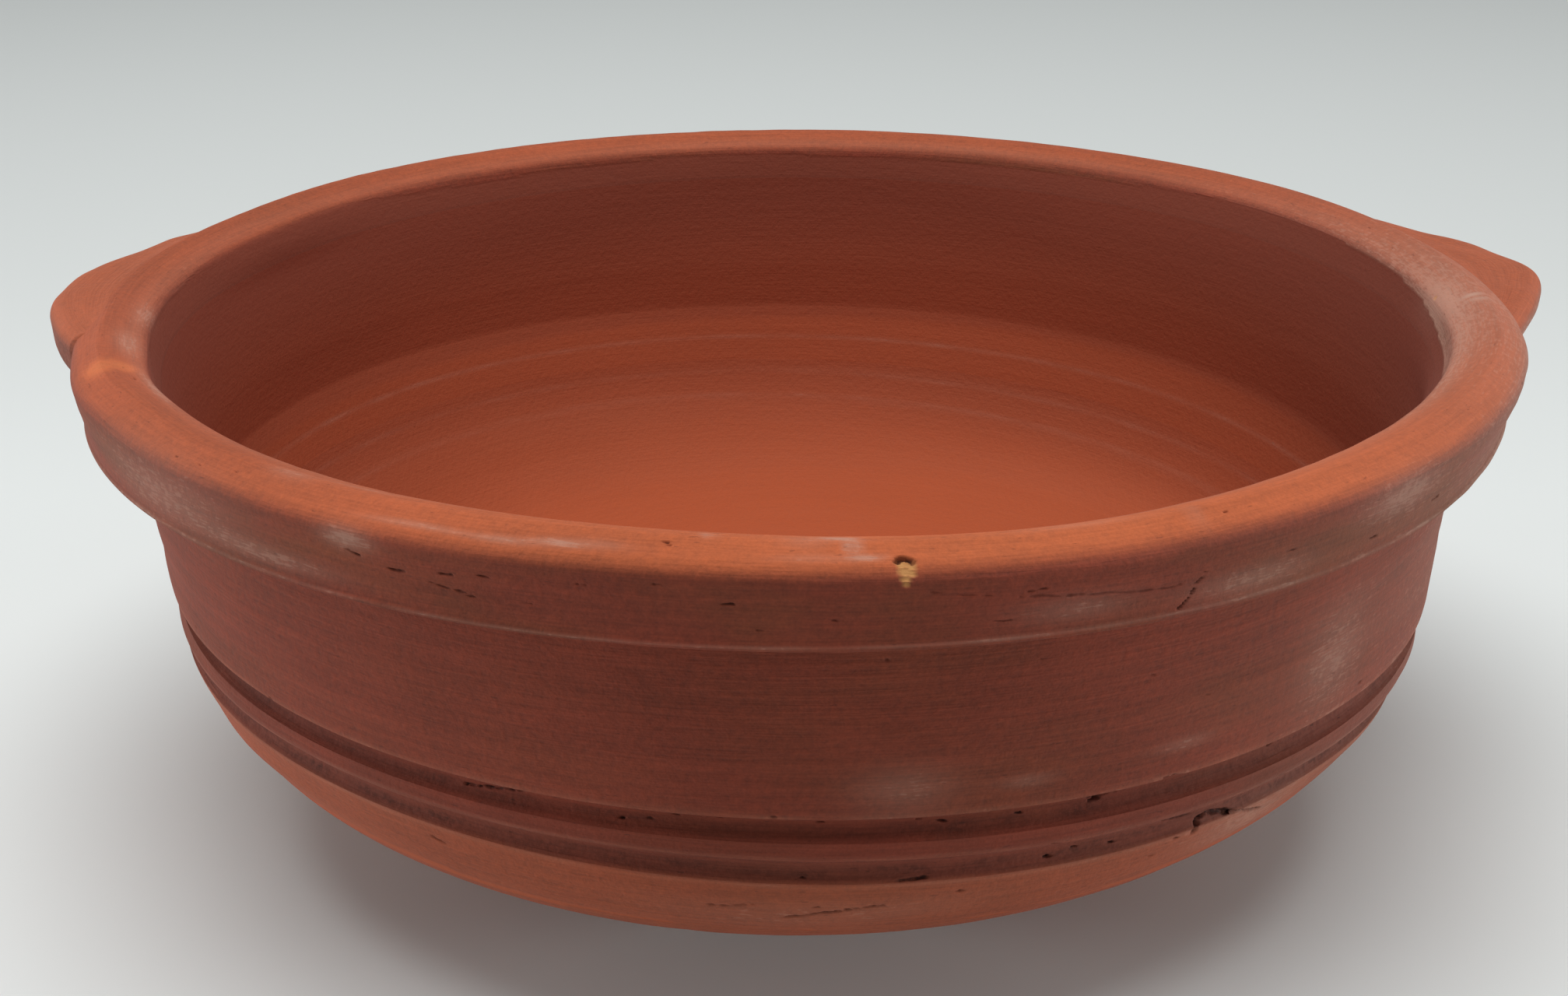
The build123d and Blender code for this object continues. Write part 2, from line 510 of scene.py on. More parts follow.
# %% Wrap shader sockets
class Value:
    """Output socket that can be used in expressions."""

    def __init__(self, tree, socket):
        self.tree = tree
        self.socket = socket

    def node(self, kind, settings, inputs, output=0):
        """New node in the same tree: settings first, then the values or links of its sockets."""
        made = self.tree.nodes.new(kind)
        for name, setting in settings.items():
            setattr(made, name, setting)
        for name, value in inputs.items():
            if isinstance(value, Value):
                self.tree.links.new(value.socket, made.inputs[name])
            else:
                made.inputs[name].default_value = value
        return Value(self.tree, made.outputs[output])

    def math(self, operation, first, second=0.0):
        return self.node("ShaderNodeMath", {"operation": operation}, {0: first, 1: second})

    def __add__(self, other):
        return self.math("ADD", self, other)

    def __radd__(self, other):
        return self.math("ADD", other, self)

    def __sub__(self, other):
        return self.math("SUBTRACT", self, other)

    def __rsub__(self, other):
        return self.math("SUBTRACT", other, self)

    def __mul__(self, other):
        return self.math("MULTIPLY", self, other)

    def __rmul__(self, other):
        return self.math("MULTIPLY", other, self)

    def between(self, low, high):
        """0 below low, 1 above high, and smooth between."""
        settings = {"interpolation_type": "SMOOTHSTEP"}
        return self.node("ShaderNodeMapRange", settings, {"Value": self, "From Min": low, "From Max": high})

    def mixed(self, first, second):
        """Colour from first to second by this value."""
        settings = {"data_type": "RGBA", "clamp_factor": True}
        return self.node("ShaderNodeMix", settings, {0: self, 6: first, 7: second}, 2)


# %% [markdown]
# ## The fired clay
# The clay is matte and orange red. It is streaked by the wheel, speckled with grit, coated with pale bloom
# and painted sheen, darker in its pits and lighter where it is chipped. Painted shade darkens it below the
# lip, higher up inside and in its hollows, and painted light brightens the band below the lower groove.
# The patterns read Object coordinates. The streaks also read the way along the outline that the pen kept,
# so they follow the wheel over every bend: they are long round the axis and short along the outline.

# %% Read the clay's places and masks
clay = bpy.data.materials.new("fired_clay")
clay.use_nodes = True
tree = clay.node_tree
shader = tree.nodes["Principled BSDF"]
place = Value(tree, tree.nodes.new("ShaderNodeTexCoord").outputs["Object"])
x = place.node("ShaderNodeSeparateXYZ", {}, {0: place}, 0)
y = place.node("ShaderNodeSeparateXYZ", {}, {0: place}, 1)


def mask(name):
    return place.node("ShaderNodeAttribute", {"attribute_name": name}, {}, 2)


along = mask("along")
masks = ("hollow", "raw", "pale", "warm", "brown", "deep", "inner")
hollow, raw, pale, warm, brown, deep, inner = (mask(name) for name in masks)
print("painted masks:", ", ".join(masks))


# %% Make the clay's patterns
def streaks(per_metre_round, per_metre_across, detail):
    """Noise that runs round the wheel's axis."""
    vector = place.node(
        "ShaderNodeCombineXYZ", {},
        {0: x * per_metre_round, 1: y * per_metre_round, 2: along * per_metre_across},
    )
    return place.node("ShaderNodeTexNoise", {}, {"Vector": vector, "Scale": 1.0, "Detail": detail})


def grain(per_metre, detail):
    """Noise with no direction."""
    return place.node("ShaderNodeTexNoise", {}, {"Vector": place, "Scale": per_metre, "Detail": detail})


wheel_lines = streaks(14, 420, 4)
wide_lines = streaks(9, 110, 2)
blotches = streaks(30, 90, 3)
scratches = streaks(90, 2600, 3)
dashes = streaks(420, 3200, 2)
nicks = streaks(420, 1700, 2)
grit = grain(900, 4)
sand = grain(2600, 2)
mottle = grain(45, 3)
print("clay nodes for places and patterns:", len(tree.nodes))

# %% Mix the clay's colour
red_clay = (0.19, 0.035, 0.0175, 1)
brown_clay = (0.152, 0.04, 0.0165, 1)
orange_clay = (0.435, 0.102, 0.035, 1)
floor_clay = (0.4, 0.076, 0.022, 1)
shaded_inner_clay = (0.21, 0.044, 0.022, 1)
dark_clay = (0.05, 0.014, 0.009, 1)
raw_clay = (0.5, 0.235, 0.08, 1)
bloom_and_sheen = (0.44, 0.27, 0.205, 1)
sooted = (0.22 + brown) * blotches.between(0.36, 0.74)
outer = warm.mixed(sooted.mixed(red_clay, brown_clay), orange_clay)
# Inside, painted shade darkens the floor clay towards the shaded inner clay higher up.
base = inner.mixed(outer, deep.mixed(floor_clay, shaded_inner_clay))
unevenness = 0.45 * wheel_lines + 0.4 * mottle + 0.6 * scratches + 0.65 * grit + 0.5 * sand - 1.3
shade = 1 + unevenness * (1 - 0.85 * inner) * (1 - 0.4 * warm)
shaded = place.node("ShaderNodeVectorMath", {"operation": "SCALE"}, {0: base, "Scale": shade})
flecks = (0.6 * dashes + 0.4 * grit + 0.45 * pale).between(0.66, 0.76)
# The pale mask holds bloom, dust and wear, and painted sheen on the two sides of the pot.
dust_and_sheen = pale * (0.4 + 0.25 * wide_lines.between(0.35, 0.62)) + 0.16 * flecks * pale.between(0, 0.25)
dusted_and_sheened = dust_and_sheen.mixed(shaded, bloom_and_sheen)
chipped = raw.mixed(dusted_and_sheened, raw_clay)
speckle = 0.5 + (grit.between(0.4, 0.6) - 0.5) * (1 - inner)
# The hollow mask darkens pits, cracks and grooves with dirt and painted shade, and paints shade below the
# lip, in the chip and on the left lug's front.
dirt_and_painted_shade = hollow * (0.45 + 0.6 * speckle) + 0.35 * nicks.between(0.69, 0.75) * (1 - inner)
coloured = dirt_and_painted_shade.mixed(chipped, dark_clay)
tree.links.new(coloured.socket, shader.inputs["Base Color"])
print("clay nodes with the colour:", len(tree.nodes))

# %% Give the clay its surface
shader.inputs["Specular IOR Level"].default_value = 0.3
roughness = 0.8 + 0.15 * grit
tree.links.new(roughness.socket, shader.inputs["Roughness"])
relief = (0.6 * wheel_lines + 0.5 * scratches) * (1 - 0.6 * inner) + 0.6 * grit + 0.25 * sand
bump = place.node("ShaderNodeBump", {}, {"Height": relief, "Strength": 0.5, "Distance": 0.0005})
tree.links.new(bump.socket, shader.inputs["Normal"])
print("clay nodes in all:", len(tree.nodes))

# %% [markdown]
# ## The bottom dish
# The dish is the rounded, closed bottom. Its outside starts in the lower groove and turns under to a
# flattened foot. Its inside sweeps from the seam down to the floor in two arcs. The outline ends on the
# axis on both sides, and merging the vertices there closes the poles.


# %% Throw the bottom dish
def dish_outline():
    pen = Pen(*seam_outside)
    pen.way = Vector((0, 0.75, -0.66)).normalized()
    pen.curve(outside_radius(band_top) - 0.3, band_top, 0.35)
    pen.line(outside_radius(band_top - 1.2), band_top - 1.2, 0.35)
    pen.curve(outside_radius(24.5), 24.5, 0.8)
    pen.curve(foot_radius, 0, 1.6)
    pen.line(0, 0, 4)
    pen.line(0, floor_thickness, 10)
    pen.line(floor_radius, floor_thickness, 3)
    pen.curve(86, 25, 1.4)
    pen.curve(*seam_inside, 0.9)
    pen.close(2)
    return pen


dish = thrown(dish_outline(), 12, 32)
work(dish, 0.1, 70, 4)
dish_tree = BVHTree.FromBMesh(dish)

# %% Mark the bottom dish
band_cracks = [
    ([(-1, 33.8), (5.2, 35.8), (6.7, 35.9)], 0.5, 0.35),
    ([(-6.5, 35.9), (-3.1, 36.4)], 0.4, 0.25),
    ([(-29.6, 39.4), (-27.9, 38.5)], 0.5, 0.4),
    ([(33.1, 38.1), (33.5, 40.2), (34.7, 40.4), (37, 39.1), (41.3, 36.3)], 0.9, 0.8),
    ([(7.6, 40.6), (10, 40.6)], 0.6, 0.4),
    ([(29.7, 42.2), (32.6, 41.5)], 0.6, 0.4),
]
band_pits = [
    (1.6, 36.2, 0.7, 0.4), (2.7, 33.5, 0.6, 0.3), (12.5, 37.5, 0.8, 0.4), (-1.3, 31.3, 0.6, 0.3),
    (29.3, 35.8, 0.9, 0.5), (31.3, 38.1, 0.9, 0.5), (-24.6, 32.5, 0.8, 0.3), (19.4, 41, 1.1, 0.7),
    (0.5, 41.5, 0.7, 0.5), (21.7, 41.6, 0.8, 0.5), (25, 40.8, 0.9, 0.5),
]
sink(dish, pits(dish_tree, on_side, band_pits) + cracks(dish_tree, on_side, band_cracks))

# %% [markdown]
# ## The colours of the body
# Dirt and painted shade lie in the grooves, and their edges are worn. Grey bloom dried on the two sides of
# the pot, and painted sheen brightens them too. The inside is clear orange on the floor and browner above,
# where painted shade darkens it. Painted light from the floor brightens the outside below the lower
# groove. Each of these is a small function of a vertex's place, and the wall uses the same ones as the
# dish, so the colours meet at the seam.


# %% Find dirt, wear and bloom
def groove_level(vert):
    """Height of a vertex, measured from the sloping grooves."""
    return vert.co.z + groove_drop(bearing(vert.co), vert.co.z + 1)


def groove_dirt_and_shade(vert):
    """Dirt and painted shade at the bottom of the two grooves in uneven patches, and soot high up inside at
    the right.
    """
    angle = bearing(vert.co)
    if is_inner(vert):
        return 0.45 * side(angle, 80, 42) * blend(vert.co.z, 40, 60)
    level = groove_level(vert)
    dirt_and_painted_shade = 0.55 * hump(level, ridge_top + 1.5, 1.3) + 0.7 * hump(level, band_top + 1.5, 1.4)
    dirt_and_painted_shade += 0.28 * hump(level, ridge_low + 1.5, 2)
    return dirt_and_painted_shade * (0.75 + 0.6 * noise.noise(Vector((angle * 0.3, level * 0.8, 5))))


def worn_edges(vert):
    """How worn the clay is at the edges of the two grooves, in streaks."""
    level = groove_level(vert)
    edge_line = 0.8 * hump(level, groove_edge + 0.2, 0.45) + 0.5 * hump(level, ridge_low + 0.3, 0.5)
    edge_line += 0.5 * hump(level, band_top - 0.4, 0.5)
    return edge_line * (0.6 + 0.6 * noise.noise(Vector((bearing(vert.co) * 0.25, level, 0))))


def side_bloom_and_sheen(vert, left, right):
    """Grey bloom that dried on the two sides of the pot, and painted sheen there."""
    if is_inner(vert):
        return 0
    angle = bearing(vert.co)
    return left * side(angle, -85, 34) + right * side(angle, 82, 36)


# %% Find the tones of the body
def band_light_and_wear(vert):
    """How orange the outside of the dish is: painted light from the floor below the lower groove, and wear at
    the worn edges.
    """
    clear = blend(groove_level(vert), band_top + 0.6, band_top - 0.4)
    return 0.36 * clear + 0.3 * worn_edges(vert)


def inside_shade(vert):
    """How brown the inside is, as painted shade: clear on the floor, darker above the step round it, darkest
    at the top.
    """
    height = vert.co.z
    return 0.45 * blend(height, 15, 50) + 0.2 * blend(height, 56.5, 58.5) + 0.35 * blend(height, 60, 88)


def inside_mask(vert):
    return 1.0 if is_inner(vert) else 0.0


# %% Paint the bottom dish
band_blooms = [(40, 35, 12, 4, 0.4), (0, 34, 40, 3, 0.2)]


def dish_dust_and_sheen(vert):
    return 0.06 + side_bloom_and_sheen(vert, 0.08, 0.22) + 0.4 * worn_edges(vert)


paint(dish, "hollow", [], groove_dirt_and_shade)
paint(dish, "pale", patches(dish_tree, on_side, band_blooms), dish_dust_and_sheen)
paint(dish, "warm", [], band_light_and_wear)
paint(dish, "inner", [], inside_mask)
paint(dish, "deep", [], inside_shade)
finish_piece(dish, "bottom_dish", clay)

# %% [markdown]
# ## The wall ring
# The wall leans in from the rim down to two turned grooves. Each groove starts at a crisp edge that the
# tool pulled down, is hollow below it, and runs out over a soft lower lip. The grooves could be cut later,
# but they are part of the outline here, so their rows follow the edges exactly.


# %% Throw the wall ring
def wall_outline():
    pen = Pen(lip_radius + 0.9, wall_top)
    pen.line(wall_radius, wall_top, 3)
    pen.line(wall_radius, collar_low, 2)
    pen.line(outside_radius(groove_edge), groove_edge, 0.8)
    pen.line(outside_radius(52.2) - 1.5, 52.1, 0.3)
    pen.curve(outside_radius(ridge_top) - 0.5, ridge_top, 0.35)
    pen.line(outside_radius(ridge_low + 1) - 0.1, ridge_low + 1, 0.35)
    pen.line(outside_radius(ridge_low) - 0.2, ridge_low, 0.3)
    pen.line(*seam_outside, 0.3)
    pen.line(*seam_inside, 2)
    pen.line(inside_radius(57.5) - 0.6, 57.5, 0.8)
    pen.line(inside_radius(60), 60, 0.5)
    pen.line(inside_radius(70), 70, 1.0)
    pen.close(1.0)
    return pen


wall = thrown(wall_outline(), 12, 40)
work(wall, 0.11)
wall_tree = BVHTree.FromBMesh(wall)

# %% Mark the wall ring
wall_pits = [
    (6.2, 78.6, 0.8, 0.3), (25.6, 70.8, 0.8, 0.3), (-38, 76.4, 0.8, 0.4), (-17, 73, 0.6, 0.3),
    (31, 64.8, 0.7, 0.3), (50.6, 53.8, 1.0, 0.5), (-58.7, 56.6, 1.0, 0.5), (-34, 52.7, 1.3, 0.8),
    (-49, 54, 0.9, 0.5), (-45, 54.3, 0.8, 0.5), (-40, 53.9, 0.9, 0.5),
    (-12.8, 50.3, 0.8, 0.5), (-10.6, 50.5, 0.7, 0.5), (-8.7, 51.8, 0.9, 0.5), (-5.5, 51.8, 0.8, 0.5),
    (-1.6, 53.3, 0.8, 0.5), (0.1, 52.9, 0.7, 0.4), (1.8, 51.2, 0.9, 0.5), (9, 50.9, 0.8, 0.5),
    (10.7, 50.2, 1.2, 0.7), (9.3, 48.1, 0.7, 0.4), (16.6, 50.1, 0.9, 0.5), (18.5, 51.5, 0.9, 0.5),
    (22.8, 50, 1.8, 1.1), (33.9, 50.6, 1.3, 0.8), (36.5, 50.4, 1.2, 0.7), (40.2, 49.5, 1.2, 0.7),
    (-41, 45.5, 1.0, 0.5), (-31.5, 45, 0.9, 0.5), (19.4, 44.5, 1.0, 0.6), (16.8, 76.5, 0.6, 0.2),
]
wall_cracks = [
    ([(21, 51.5), (22.8, 50.4), (24.9, 51.2), (27.8, 51.8), (30.6, 51.7)], 0.9, 0.7),
    ([(-25.5, 51), (-19.7, 52.4)], 0.6, 0.4),
]
sink(wall, pits(wall_tree, on_side, wall_pits) + cracks(wall_tree, on_side, wall_cracks))

# %% Paint the wall ring
wall_blooms = [(7.5, 57, 7, 4, 0.3), (45, 62, 8, 9, 0.3), (29.3, 57.4, 5, 1, 0.3), (16.5, 56.8, 4, 1, 0.3)]


def wall_dust_and_sheen(vert):
    return side_bloom_and_sheen(vert, 0.12, 0.36) + 0.4 * worn_edges(vert)


paint(wall, "hollow", [], groove_dirt_and_shade)
paint(wall, "pale", patches(wall_tree, on_side, wall_blooms), wall_dust_and_sheen)
paint(wall, "warm", [], lambda vert: 0.3 * worn_edges(vert))
paint(wall, "brown", [], lambda vert: 0.3 * side(bearing(vert.co), 22, 22))
paint(wall, "inner", [], inside_mask)
paint(wall, "deep", [], inside_shade)
finish_piece(wall, "wall_ring", clay)

# %% [markdown]
# ## The rim collar
# The collar is a thick band that caps the wall and overhangs it. Its lip slopes up from a rounded inner
# edge to a crest. From there the top falls a little to a rounded outer shoulder, and the face ends in a
# thin hem that the potter trimmed on the wheel. Bevels could round a plain band, but a drawn outline gives
# each edge its own roundness.


# %% Throw the rim collar
def collar_outline():
    hem_radius = rim_radius - 1.6
    pen = Pen(lip_radius + 0.9, wall_top)
    pen.line(lip_radius + 2.6, 94.4, 0.5)
    pen.curve(lip_radius + 4.2, 96.1, 0.25)
    pen.line(lip_radius + 7.4, 97.5, 0.45)
    pen.curve(lip_radius + 10.2, pot_height, 0.45)
    pen.line(rim_radius - 1.9, pot_height - 1.5, 0.45)
    pen.curve(rim_radius - 0.1, pot_height - 3.7, 0.3)
    pen.line(hem_radius + 0.3, collar_low + 0.8, 0.45)
    pen.line(hem_radius + 0.5, collar_low + 0.45, 0.2)
    pen.curve(hem_radius - 0.3, collar_low, 0.2)
    pen.line(wall_radius, collar_low, 0.8)
    pen.line(wall_radius, wall_top, 2)
    pen.close(3)
    return pen


collar = thrown(collar_outline(), 12, 48)
work(collar, 0.12, 50, 1.7)
collar_tree = BVHTree.FromBMesh(collar)

# %% Mark the rim collar
collar_pits = [
    (-4, 90.8, 1.6, 0.35), (2.2, 88.5, 1.2, 0.25), (-8.2, 93.4, 1.2, 0.25), (-21.7, 91.2, 1.8, 0.35),
    (-19, 91.7, 2.2, 0.35), (-20, 88.3, 1.6, 0.25), (-16.4, 88.6, 1.4, 0.2), (49.4, 87.9, 2.2, 0.5),
    (41.5, 86.8, 1.6, 0.4), (-25.5, 90.4, 3.4, 0.3), (-12.8, 92.4, 1.2, 0.25), (-28.5, 91.6, 2.0, 0.35),
    (12.5, 87.2, 2.4, 0.2), (14.5, 91.4, 2.6, 0.2), (-2, 87, 1.4, 0.15), (33, 89.8, 1.8, 0.25),
]
rim_pits = [
    (-8, 121.4, 1.4, 0.35), (-7.6, 121.7, 0.8, 0.4), (28.3, 121.6, 0.6, 0.45), (-40, 122, 0.9, 0.35),
    (-63, 116.8, 1.0, 0.5), (-46, 123.4, 1.0, 0.2), (-49, 123.6, 0.8, 0.16), (-43.5, 123, 0.9, 0.2),
    (113, 116, 0.6, 0.4), (108, 117, 0.5, 0.3), (102, 115.6, 0.6, 0.4),
]
collar_cracks = [
    ([(13.5, 90.6), (18, 89.7), (21.6, 88.9), (24.4, 88.7)], 0.5, 0.16),
    ([(8, 92.3), (10, 91.6), (12, 91.2)], 0.4, 0.12),
    ([(25.9, 90), (25.8, 89), (25.2, 88.3)], 0.35, 0.2),
    ([(25.3, 87.6), (24.9, 86.3), (24.3, 84.6)], 0.4, 0.4),
    ([(-23, 89.4), (-20.5, 88.8)], 0.4, 0.25),
]
beads = pits(collar_tree, on_side, collar_pits) + pits(collar_tree, on_top, rim_pits)
beads += cracks(collar_tree, on_side, collar_cracks)
print(f"{len(beads)} beads of drag marks and cracks on the collar")

# %% Chip the rim
# The chip's upper edge is a row of deep beads, whose hollow mask paints shade into the upper part of the
# chip.
chip_edge = [(6.0, 123.2), (6.2, 122.9), (6.5, 122.8), (6.8, 123.0), (6.95, 123.5)]
chip_face = [
    (6.2, 96.0, 1.0), (6.75, 95.8, 1.0), (6.4, 95.2, 1.1),
    (6.75, 95.0, 0.8), (6.4, 94.3, 0.8), (6.45, 93.6, 0.5),
]
chip_depth = 0.4
nick_path = [(87.5, 113.4), (87.9, 113.6)]
beads += [(on_side(collar_tree, angle, level), size, chip_depth, 1) for angle, level, size in chip_face]
beads += crack(collar_tree, on_top, chip_edge, 0.9, 0.9)
beads += crack(collar_tree, on_top, nick_path, 1.0, 0.15, rawness=0.5)
sink(collar, beads)


# %% Find the collar's dust, soot and tone
def collar_dust_and_sheen(vert):
    """Bloom and painted sheen on the collar's sides, a pale line along the worn hem that is also a painted
    highlight, and bloom towards its inner edge.
    """
    radius = math.hypot(vert.co.x, vert.co.y)
    angle = bearing(vert.co)
    dust_and_sheen = side_bloom_and_sheen(vert, 0.14, 0.5) * blend(vert.co.z, 97, 94)
    dust_and_sheen += (0.05 * side(angle, -75, 25) + 0.42 * side(angle, 85, 30)) * blend(vert.co.z, 94, 97)
    dust_and_sheen += 0.12 * hump(radius, lip_radius + 4.4, 2.0) * blend(vert.co.z, 94, 96)
    # The pale line along the hem is wear and a painted highlight on its lip.
    edge_line = 0.26 + 0.3 * noise.noise(Vector((angle * 0.2, 0, 7)))
    return dust_and_sheen + edge_line * hump(vert.co.z, collar_low + 0.4, 0.22)


def rim_tone(vert):
    """How orange the collar is: clearest on the top in front, and hardly on its face."""
    angle = bearing(vert.co)
    return blend(vert.co.z, 94, 96.5) * (0.42 + 0.58 * side(angle, 12, 48) + 0.1 * side(angle, 180, 60))


def lip_shade_and_soot(vert):
    """Painted shade on the inside of the collar below the lip, with soot towards the right."""
    if not is_inner(vert):
        return 0
    return blend(vert.co.z, 95.6, 94) * (0.25 + 0.3 * side(bearing(vert.co), 80, 42))


# %% Paint the rim collar
face_blooms = [
    (-48, 90, 20, 5, 0.4), (44, 92, 9, 3, 0.4), (-29, 93.5, 4, 1.6, 0.6),
    (-36, 87, 14, 1.5, 0.4), (17, 88, 8, 2, 0.3), (30, 87, 10, 2, 0.35),
]
rim_blooms = [
    (-72.7, 116, 6, 2, 0.35), (-81.6, 113.5, 5, 2, 0.3), (-61, 114.5, 9, 1.2, 0.4), (87, 113, 9, 4, 0.3),
    (85, 118.6, 0.7, 1.8, 0.7), (83.6, 119.5, 0.6, 2.2, 0.6), (-24, 123.0, 9, 0.5, 0.4),
    (-18, 123.3, 4, 0.6, 0.4), (-36, 119, 4, 1.5, 0.35), (-30, 117.5, 6, 0.8, 0.35),
    (-5.5, 119.5, 1.0, 0.8, 0.6), (-12, 122.5, 4, 0.8, 0.25), (1, 122.8, 5, 0.6, 0.3),
    (0.5, 120, 3, 1.5, 0.25), (18, 119, 8, 1.0, 0.25), (26, 121, 1.0, 2.2, 0.3),
    (2.6, 119.4, 2.4, 0.7, 0.8), (3.4, 121, 1.0, 1.3, 0.7), (4.2, 122.7, 2.2, 0.5, 0.8),
    (-14.6, 122.9, 3.4, 0.6, 0.6),
]
scrape = patches(collar_tree, on_top, [(-65.6, 121.6, 3.0, 2.2, 0.9), (-66, 117.8, 2.4, 2.2, 0.9)])
raw_scrape = [(point, wide * 0.8, high * 0.8, 0.1) for point, wide, high, _ in scrape]
blooms = patches(collar_tree, on_side, face_blooms) + patches(collar_tree, on_top, rim_blooms)
paint(collar, "pale", blooms, collar_dust_and_sheen)
paint(collar, "warm", scrape, rim_tone)
paint(collar, "raw", raw_scrape)
# Below the lip, the collar's inside takes the shaded inner clay as painted shade.
paint(collar, "inner", [], lambda vert: blend(vert.co.z, 95.6, 94.6) if is_inner(vert) else 0)
paint(collar, "brown", [], lambda vert: 0.75 * blend(vert.co.z, 95.5, 93))
paint(collar, "deep", [], lambda vert: 1.0)
paint(collar, "hollow", [], lip_shade_and_soot)
finish_piece(collar, "rim_collar", clay)

# %% [markdown]
# ## The two lugs
# Each lug is a lump of clay pressed onto the collar and drawn out. It could be sculpted from a ball, but
# then its top would not run level into the rim. So it starts as a section of the lug at its tip, spun
# through a short arc. Then the section is drawn back towards the ends, down to the face of the collar.

# %% Draw the lugs
lug_root = 118.5


def lug_outline(reach, seat_top, shoulder, tip_top, edge, low):
    """Section of a lug at its tip, from its seat inside the collar out to the rounded edge and back."""
    full = rim_radius + reach
    pen = Pen(lug_root, seat_top)
    pen.line(*shoulder, 0.6)
    pen.line(full - edge, tip_top, 0.6)
    pen.curve(full, tip_top - edge, 0.4)
    pen.line(full - 0.3, low + 3, 0.5)
    pen.curve(full - 3.4, low, 0.4)
    pen.line(lug_root, low - 1.5, 0.9)
    pen.close(2)
    return pen


right_turn = 6.5
left_reach = -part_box("left_lug")[0][0] / MM - rim_radius
right_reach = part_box("right_lug")[1][0] / MM / math.cos(math.radians(right_turn)) - rim_radius
left_tip = left_reach - 1.4
right_tip = right_reach + 2.4
left_edge = 2.8
right_edge = 3.2
left_section = lug_outline(
    left_tip, seat_top=97.2, shoulder=(120.6, 97.95), tip_top=97.3, edge=left_edge, low=88.3
)
right_section = lug_outline(
    right_tip, seat_top=95, shoulder=(122, 96.5), tip_top=95.2, edge=right_edge, low=88.6
)
print(f"the lugs reach {left_tip:.1f} and {right_tip:.1f} mm past the rim")


# %% Press on the lugs
def lug_mesh(pen, middle, ends, reach, falloffs, edge, dip):
    """Closed lug: the section spun between its ends and drawn back from the middle by the falloffs."""
    bm = pen.measured()
    first_end = Matrix.Rotation(math.radians(middle + ends[0]), 3, "Z")
    bmesh.ops.rotate(bm, verts=bm.verts, cent=(0, 0, 0), matrix=first_end)
    geom = bm.verts[:] + bm.edges[:]
    sweep = math.radians(ends[1] - ends[0])
    bmesh.ops.spin(bm, geom=geom, cent=(0, 0, 0), axis=(0, 0, 1), angle=sweep, steps=90)
    bmesh.ops.holes_fill(bm, edges=[part for part in bm.edges if part.is_boundary])
    full = rim_radius + reach
    for vert in bm.verts:
        radius = math.hypot(vert.co.x, vert.co.y)
        angle = (bearing(vert.co) - middle + 180) % 360 - 180
        half = 0 if angle < 0 else 1
        bow, fade = falloffs[half]
        away = (math.hypot(angle, 1.2) - 1.2) / abs(ends[half])
        share = max(0, 1 - away**bow) ** fade
        shift = (reach + 0.8) * (1 - share)
        shift *= min(1, max(0, (radius - lug_root) / (full - edge - lug_root)))
        lump = 0.35 * noise.noise(vert.co / 9) * blend(radius, 122, 128)
        sunk = dip * (1 - share) * blend(radius - shift, 119.5, 123)
        drawn = (radius - shift + lump) / radius
        vert.co = Vector((vert.co.x * drawn, vert.co.y * drawn, vert.co.z + lump - sunk))
    bmesh.ops.recalc_face_normals(bm, faces=bm.faces)
    work(bm, 0)
    return bm


left_lug = lug_mesh(
    left_section, middle=-87.5, ends=(-22, 11.2), reach=left_tip,
    falloffs=((1.3, 0.92), (1.2, 0.85)), edge=left_edge, dip=0.9,
)
right_lug = lug_mesh(
    right_section, middle=91 + right_turn, ends=(-16.5, 26), reach=right_tip,
    falloffs=((1.1, 1.25), (1.15, 1.35)), edge=right_edge, dip=0.4,
)


# %% Paint the lugs
def lug_front_shade(vert):
    """Painted shade on the steep front end of the left lug."""
    return 0.5 * side(bearing(vert.co), -79, 5) * blend(vert.co.z, 96, 93.5)


def steep(vert):
    """0 on the top of a lug, 1 on its face and underside."""
    return blend(vert.normal.z, 0.6, 0.1)


for lug, node in ((left_lug, "left_lug"), (right_lug, "right_lug")):
    paint(lug, "hollow", [], lug_front_shade)
    paint(lug, "pale", [], lambda vert: 0.1 + side_bloom_and_sheen(vert, 0.14, 0.4) * steep(vert))
    paint(lug, "warm", [], lambda vert: 0.54 - 0.4 * steep(vert))
    paint(lug, "brown", [], lambda vert: 0.75 * steep(vert))
    finish_piece(lug, node, clay)

# %% [markdown]
# ## Floor and light
# A pale plain floor throws light back onto the lower body. A large soft lamp above the pot and a little in
# front of it lights the rim and the inside, and leaves the front in soft shade. Two narrow low lamps
# brighten the left and right sides of the pot. The dim world fills the shade, and looks pale to the camera
# and in reflections.

# %% Lay the floor
bm = bmesh.new()
bmesh.ops.create_grid(bm, x_segments=1, y_segments=1, size=4)
floor_mesh = bpy.data.meshes.new("floor")
bm.to_mesh(floor_mesh)
bm.free()
floor = bpy.data.objects.new("floor", floor_mesh)
floor.location.z = -0.0002
bpy.context.scene.collection.objects.link(floor)
floor_paint = bpy.data.materials.new("pale_floor")
floor_paint.use_nodes = True
floor_shader = floor_paint.node_tree.nodes["Principled BSDF"]
floor_shader.inputs["Base Color"].default_value = (0.7, 0.727, 0.718, 1)
floor_shader.inputs["Roughness"].default_value = 0.9
floor_mesh.materials.append(floor_paint)
print("floor:", len(floor_mesh.polygons), "face")


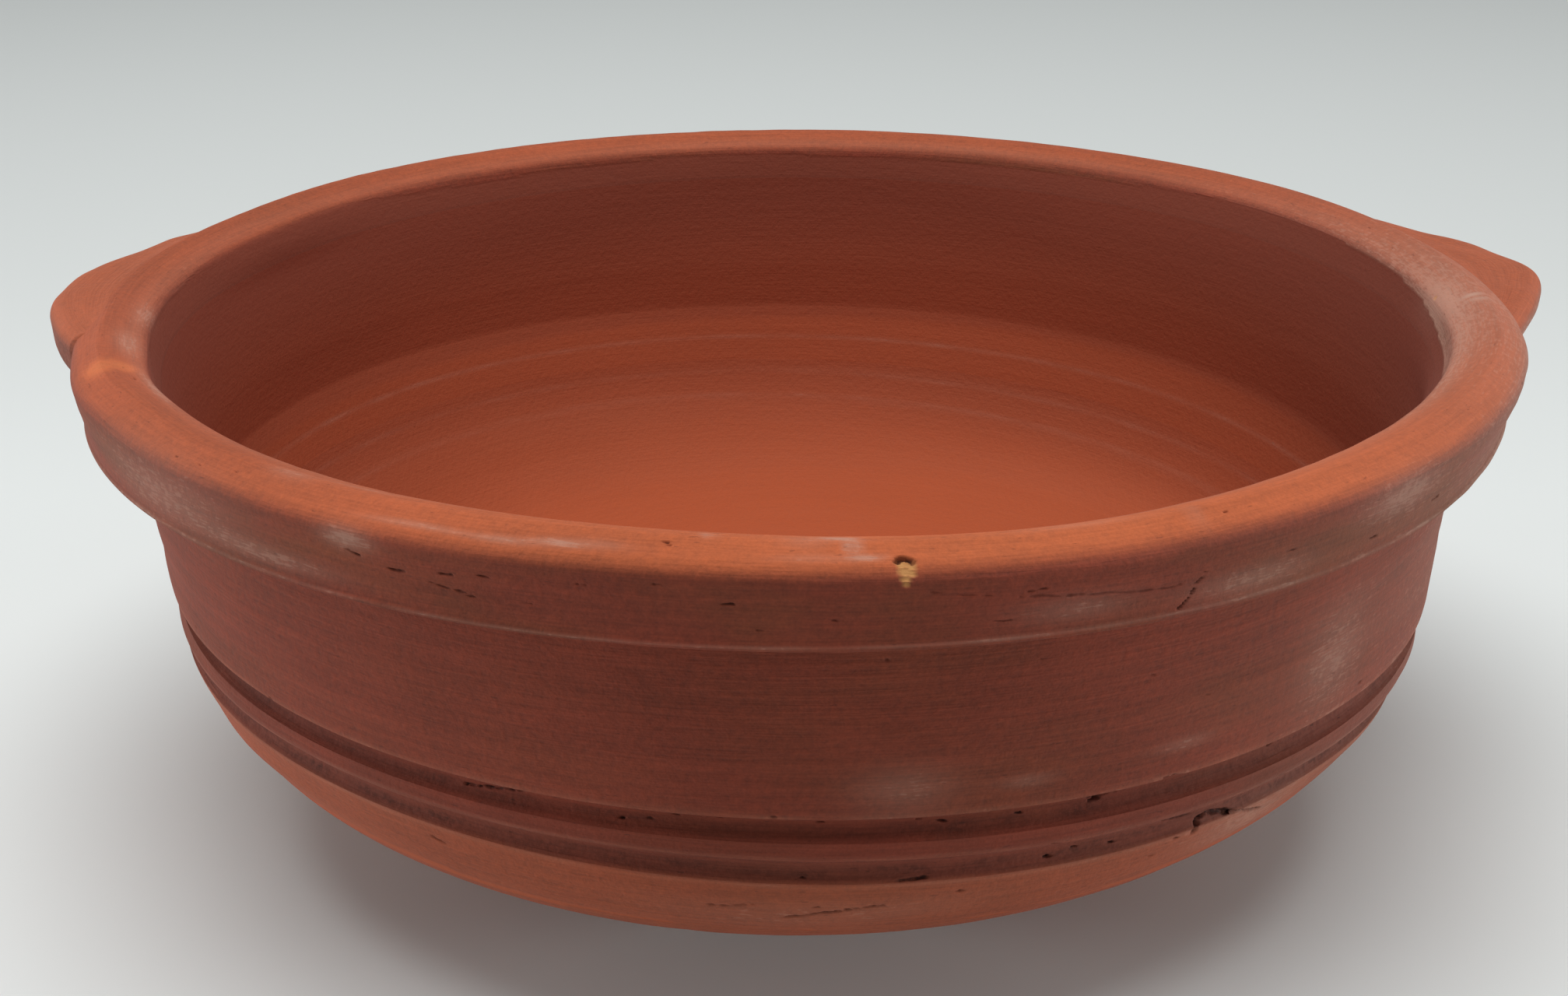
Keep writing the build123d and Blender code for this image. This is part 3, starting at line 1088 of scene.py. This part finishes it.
# %% Hang the lamps
def lamp(name, spot, target, size, power, spread=180):
    """Round soft lamp that the camera doesn't see. The spread is the angle of its cone in degrees."""
    light = bpy.data.lights.new(name, "AREA")
    light.shape = "DISK"
    light.size = size
    light.energy = power
    light.spread = math.radians(spread)
    holder = bpy.data.objects.new(name, light)
    holder.location = spot
    holder.rotation_euler = (Vector(target) - Vector(spot)).to_track_quat("-Z", "Y").to_euler()
    holder.visible_camera = False
    bpy.context.scene.collection.objects.link(holder)
    print(f"{name}: {power} W from {spot}")


lamp("ceiling", (-0.05, -0.2, 1.45), (0, 0, 0.05), size=1.4, power=21.3)
lamp("left_card", (-1.1, 0, 0.14), (0, 0, 0.04), size=0.2, power=0.24, spread=36)
lamp("right_card", (1.1, 0, 0.14), (0, 0, 0.04), size=0.2, power=0.22, spread=36)

# %% Light the world
fill_light = (0.26, 0.266, 0.266, 1)
backdrop = (0.6, 0.63, 0.62, 1)
world = bpy.data.worlds.new("studio")
world.use_nodes = True
bpy.context.scene.world = world
world_tree = world.node_tree
background = world_tree.nodes["Background"]
background.inputs["Strength"].default_value = 1
rays = world_tree.nodes.new("ShaderNodeLightPath").outputs
camera_ray, glossy_ray, passing_ray = (
    Value(world_tree, rays[name]) for name in ("Is Camera Ray", "Is Glossy Ray", "Is Transmission Ray")
)
sky = (camera_ray + glossy_ray + passing_ray).mixed(fill_light, backdrop)
world_tree.links.new(sky.socket, background.inputs["Color"])
print("world nodes:", len(world_tree.nodes))

# %% [markdown]
# ## Camera
# The camera stands where the photograph was taken from: in front of the pot, a little more than twice its
# height up, looking down into the mouth through a lens of normal length.

# %% Set the camera
image_width = 2015
focal_pixels = 2800
camera_place = (0, -0.3772, 0.2083)
pitch, yaw, roll = (math.radians(angle) for angle in (22.1, -0.36, -0.11))
camera_data = bpy.data.cameras.new("camera")
camera_data.sensor_width = 36
camera_data.lens = camera_data.sensor_width * focal_pixels / image_width
camera = bpy.data.objects.new("camera", camera_data)
tilt = Matrix.Rotation(math.pi / 2 - pitch, 4, "X") @ Matrix.Rotation(roll, 4, "Z")
camera.matrix_world = Matrix.Translation(camera_place) @ Matrix.Rotation(-yaw, 4, "Z") @ tilt
bpy.context.scene.collection.objects.link(camera)
bpy.context.scene.camera = camera
bpy.context.scene.view_settings.view_transform = "Standard"
print(f"camera: {camera_data.lens:.1f} mm lens")
